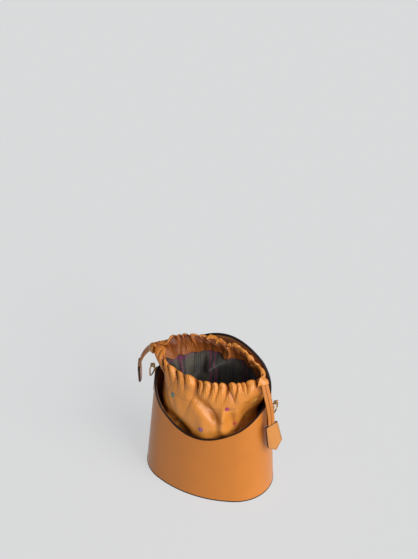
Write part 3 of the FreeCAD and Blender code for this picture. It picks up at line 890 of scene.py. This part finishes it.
def pouch():
    """Outer skin with its gathers, the frill over the edge, and the facing inside. The leather carries
    painted shade: darker in the creases and over the drawn left end of the band."""
    base, normals, below, up, slant = pouch_surface()
    skin = base.copy()
    painted_crease_shade = []
    for i, t in enumerate(STEPS):
        along = SHARE - slant * below[i] / COLUMNS
        push = gathers(along, below[i]) + sway(SHARE) * np.exp(-(below[i] / 30) ** 2)
        push -= 0.5 * math.exp(-((t - 2.0) / 0.02) ** 2)
        skin[i] += normals[i] * push[:, None]
        # Painted shade: darker in the creases of the gathers and over the band at the drawn left end, fading
        # below the mouth.
        left_end_shade = 0.55 * np.clip((-58 - base[i][:, 0]) / 26, 0, 1)
        painted_crease_shade.append(np.maximum(np.clip((0.6 - push) / 3.2, 0, 1), left_end_shade) * np.exp(-(below[i] / 24) ** 2))
    # The skin draws in round the roots of the laces, which leaves them room to swing.
    for route in ROUTES.values():
        gap = np.linalg.norm(skin - np.array(route[0]), axis=2)
        skin -= normals * (3.6 * np.exp(-(gap / 8) ** 2))[:, :, None]
    top, out = skin[-1], normals[-1]
    fine, width = lobes(FINE, SHARE)
    loose = slack(SHARE)
    tangent = unit(around(top))
    # The frill stands above the drawstring channel; past the left end of the opening its two sides
    # are drawn together over the middle.
    drawn = smoothstep((DRAWN_FROM - top[:, 0]) / DRAWN_RUN)
    frill = 2.7 + 0.26 * (fine - 0.55) * width * loose
    over = np.array([0.0, MOUTH[4], MOUTH[5]]) - top
    over = over * [0, 0.86, 0.86] + [4, 0, 3]
    reach = (frill * (1 - drawn))[:, None] * up + drawn[:, None] * over
    lean = frill_lean(SHARE) * loose
    round_radius = 1.5 + 0.10 * fine * width * loose
    loops = list(skin[:-1])
    # Painted shade between the frill's puffs, at least as dark as the skin's top row.
    frill_crease_shade = np.maximum(np.clip(1.25 - 1.4 * fine, 0, 1) * loose, painted_crease_shade[-1])
    frill_steps, roll_rows = (0.15, 0.3, 0.45, 0.6, 0.75, 0.88), 9
    painted_crease_shade = painted_crease_shade[:-1] + [frill_crease_shade] * (len(frill_steps) + roll_rows)
    for t in frill_steps:
        loops.append(top + reach * t + (2.5 * drawn * math.sin(math.pi * t))[:, None] * up
                     + (0.5 * lean * t * t)[:, None] * tangent)
    crest = top + reach
    for t in np.linspace(0, math.pi, roll_rows):
        bulge = (out * (math.cos(t) - 1) + up * math.sin(t)) * round_radius[:, None]
        loops.append(crest + bulge + (lean * (0.5 + 0.5 * math.sin(t)))[:, None] * tangent)
    piece("pouch_skin", np.concatenate(loops), grid_faces(len(loops), COLUMNS), POUCH_LEATHER, "pouch",
          ["pouch_leather", "channel_front", "channel_back"], painted_crease_shade=painted_crease_shade)

    loops, painted_crease_shade = loops[-1:], [frill_crease_shade]
    facing_depth, facing_rows = 22.0, 30
    hem = 1.8 * np.sin(2 * math.pi * SHARE * 9) + 0.9 * np.sin(2 * math.pi * SHARE * 19 + 1)
    column = np.arange(COLUMNS, dtype=float)
    for step in range(1, facing_rows + 1):
        t = step / facing_rows
        depth = t * (facing_depth + hem * loose)
        row = np.array([np.interp(-d, -below[:, c], np.arange(len(STEPS))) for c, d in enumerate(depth)])
        place = sample(skin, row, column + slant * depth)
        inward = sample(normals, row, column + slant * depth)
        puff = gathers(SHARE, depth)
        gap = 2 * round_radius + 1.7 * puff * min(1, 3 * t) * (1 - 0.6 * t)
        place = place - inward * np.maximum(gap, 3.2 + 2.0 * t)[:, None]
        # Painted shade over the facing inside the mouth, strongest near its top edge and varying with the
        # puffs.
        painted_crease_shade.append(np.clip(0.3 + 0.25 * puff, 0, 1) * (1 - 0.5 * t))
        loops.append(place + reach * (1 - t) ** 3 + (0.5 * lean * (1 - t) ** 2)[:, None] * tangent)
    edge = loops[-1]
    loops.append(edge + out * 0.5 - up * 0.4)
    loops.append(edge + out * 1.1)
    piece("pouch_facing", np.concatenate(loops), grid_faces(len(loops), COLUMNS), FACING_LEATHER, "pouch",
          painted_crease_shade=painted_crease_shade + [painted_crease_shade[-1]] * 2)
    return skin, normals


def collar(side, sign):
    """The drawn-out end of the channel, a soft sleeve round the roots of the laces."""
    root, after = (np.array(point, dtype=float) for point in ROUTES[side][:2])
    ahead = unit(after - root)
    inward = np.array([-sign, 0.0, 0.0])
    across = tag_turn(side)[:, 0]
    # Place along the sleeve from -1, in the pouch, to 1, then back inside; half width, half thickness.
    profile = [(-1.0, 9.0, 7.0), (-0.7, 8.2, 5.6), (-0.4, 7.4, 4.3), (-0.1, 6.9, 3.5), (0.2, 6.7, 3.0),
               (0.5, 6.6, 2.8), (0.8, 6.6, 2.8), (0.95, 6.5, 2.6), (1.0, 6.2, 2.2), (0.9, 5.95, 1.8),
               (0.4, 5.95, 1.7), (0.0, 5.95, 1.7)]
    inside, outside = 6.0, 3.6
    turns = circle(48)
    loops = []
    for place, wide, thick in profile:
        centre = root + (inward * -place * inside if place < 0 else ahead * place * outside)
        share = np.clip(place * 0.5 + 0.5, 0, 1)
        along = unit(-inward * (1 - share) + ahead * share)
        level = unit(across - along * (across @ along))
        rise = np.cross(along, level)
        pleat = 1 + 0.05 * np.sin(turns * 9 + sign) * max(0.0, 0.6 - place)
        loops.append(centre + (np.cos(turns) * wide * pleat)[:, None] * level
                     + (np.sin(turns) * thick * pleat)[:, None] * rise)
    made = piece(f"channel_end_{side}", np.concatenate(loops), grid_faces(len(loops), len(turns)),
                 POUCH_LEATHER, None)
    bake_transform(made)


# ---- seam and embroidery on the pouch ---------------------------------------

def on_skin(rows, normals, row, column, lift):
    """Point on the folded skin at a fractional row and column, raised off it."""
    place, out = (sample(grid, np.array([row]), np.array([column]))[0] for grid in (rows, normals))
    return place + out * lift


def seam(rows, normals):
    """The stitched seam under the drawstring channel."""
    spots = range(0, COLUMNS + 1)
    line = [on_skin(rows, normals, SEAM_ROW + 1.2, c, 0.05) for c in spots]
    out = [normals[SEAM_ROW, c % COLUMNS] for c in spots]
    threads, quads = stitch_row(line, out, 2.4, 1.1, 0.5)
    piece("pouch_seam_stitches", threads, quads, STITCH, "pouch")


THREADS = {name: thread(f"thread_{name}", colour) for name, colour in (
    ("teal", (0.01, 0.22, 0.2)), ("white", (0.75, 0.72, 0.66)), ("magenta", (0.4, 0.01, 0.12)),
    ("purple", (0.2, 0.02, 0.28)), ("red", (0.6, 0.05, 0.02)), ("green", (0.02, 0.2, 0.05)),
    ("yellow", (0.7, 0.4, 0.03)))}

# Flowers seen from the front: (x, z), petal colour, middle colour, turn in degrees.
FRONT_FLOWERS = [((-46, 158), "teal", "white", 20), ((-74, 148), "red", "green", 70),
                 ((-30, 118), "teal", "red", 130), ((6, 122), "purple", "white", 40),
                 ((40, 168), "magenta", "magenta", 90),
                 ((68, 170), "yellow", "green", 10), ((50, 133), "red", "green", 55)]


def embroidery(rows, normals):
    """Small plain five-petal flowers in satin stitch, each with two leaves."""
    spacing = 24.0
    column_step = level_points(SEAM, SHARE)[1] / COLUMNS
    parts = {name: [] for name in THREADS}

    def stitch(name, row, column, offset, angle, length, wide):
        line = []
        for reach, lift in zip(np.linspace(offset, offset + length, 5), (-0.1, 0.3, 0.38, 0.3, -0.1)):
            across, height = reach * math.cos(angle), reach * math.sin(angle)
            line.append(on_skin(rows, normals, row + height / row_step, column + across / column_step, lift))
        line = np.array(line)
        side = np.cross(normals[int(row), int(column) % COLUMNS], line[-1] - line[0])
        sizes = [wide * 0.5, wide, wide * 1.1, wide, wide * 0.4]
        parts[name].append(tube(line, sizes, [0.45] * 5, side, 8))

    spots = [(x, z, False, petals, heart, turn) for (x, z), petals, heart, turn in FRONT_FLOWERS]
    names = list(THREADS)
    for x in np.arange(-66, 67, spacing):
        for z in (118, 146, 174):
            spots.append((x + RNG.uniform(-6, 6), z + RNG.uniform(-6, 6), True, RNG.choice(names),
                          RNG.choice(names), RNG.uniform(0, 72)))
    for x, z, behind, petals, heart, turn in spots:
        gap = np.hypot(rows[:, :, 0] - x, rows[:, :, 2] - z)
        gap[(rows[:, :, 1] > 0) != behind] = np.inf
        gap[SEAM_ROW + 4:] = np.inf
        row, column = np.unravel_index(np.argmin(gap), gap.shape)
        row_step = np.linalg.norm(rows[row + 1, column] - rows[row, column])
        for petal in range(5):
            angle = math.radians(turn + petal * 72)
            for spread in (-0.24, 0.24):
                stitch(petals, row, column, 0.7, angle + spread, 3.0, 1.2)
        for angle in (0.4, 2.6):
            stitch(heart, row, column, -0.7, angle, 1.4, 1.0)
        for leaf in (math.radians(turn + 216), math.radians(turn + 252)):
            stitch("green", row, column, 3.3, leaf, 2.0, 0.8)
    for name, made in parts.items():
        if made:
            vertices, faces = merge(made)
            piece(f"flowers_{name}_thread", vertices, faces, THREADS[name], "pouch")


def lining(rows, normals):
    """Plaid bag inside the pouch: it follows the skin's folds and starts behind the facing."""
    step, top, lowest = 2, 10, 7.3
    share = SHARE[::step]
    columns = len(share)
    length = level_points(STRAIGHT, share)[1]
    below = np.linalg.norm(rows - rows[-1], axis=2)
    loops, uv, before, run = [], [], None, 0.0
    for row in range(len(rows) - 1, -1, -1):
        if below[row].mean() < top:
            continue
        inset = 1.7 + 2.2 * np.clip((below[row][::step] - 24) / 20, 0, 1)
        ripple = 0.4 + 0.4 * np.sin(2 * math.pi * share * 13 + 0.02 * row)
        ring = rows[row][::step] - normals[row][::step] * (inset + ripple)[:, None]
        ring[:, 2] = np.maximum(ring[:, 2], lowest)
        if before is not None:
            run += np.linalg.norm(ring - before, axis=1).mean()
        before = ring
        loops.append(ring)
        uv.append(np.column_stack([share * length * MM, np.full(columns, run * MM)]))
    last = loops[-1]
    middle = last.mean(0)
    for t in np.linspace(0.9, 0.1, 9):
        loops.append(middle + (last - middle) * t + np.array([0, 0, 0.4]))
        uv.append(loops[-1][:, :2] * MM + 0.5)
    count = len(loops)
    faces = turned(grid_faces(count, columns)) + [tuple(range((count - 1) * columns, count * columns))]
    piece("pouch_plaid_lining", np.concatenate(loops), faces, PLAID, "pouch",
          ["pouch_lining", "pouch_base_lining"], uv=np.concatenate(uv))


def floor():
    mesh = bpy.data.meshes.new("floor")
    half = 40.0
    corners = [(-half, -half, 0), (half, -half, 0), (half, half, 0), (-half, half, 0)]
    mesh.from_pydata(corners, [], [(0, 1, 2, 3)])
    ground = place_object("floor", mesh)
    # Paper that gives off a little light of its own, only to keep the cast shadow faint.
    paper = new_material("floor_paper", (0.17, 0.173, 0.18), 0.9, Specular_IOR_Level=0.1,
                         Emission_Color=(0.98, 0.99, 1.0, 1), Emission_Strength=0.56)
    mesh.materials.append(paper)


def finish_cad():
    """Materials for the CAD nodes that stay."""
    stay = {"base_board": BOARD, "base_lining": LINING_LEATHER, "pouch_base_leather": POUCH_LEATHER,
            "drawcord_front": LACE_LEATHER, "drawcord_back": LACE_LEATHER}
    for name, material in stay.items():
        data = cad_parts[name].data
        data.materials.clear()
        data.materials.append(material)


camera()
tails()
studio()
floor()
bucket()
for side_name, side_sign in (("left", -1), ("right", 1)):
    end_tab(side_name, side_sign)
    hardware(side_name, side_sign)
    collar(side_name, side_sign)
skin, skin_normals = pouch()
lining(skin, skin_normals)
surface = row_normals(skin)
seam(skin, surface)
embroidery(skin, surface)
finish_cad()
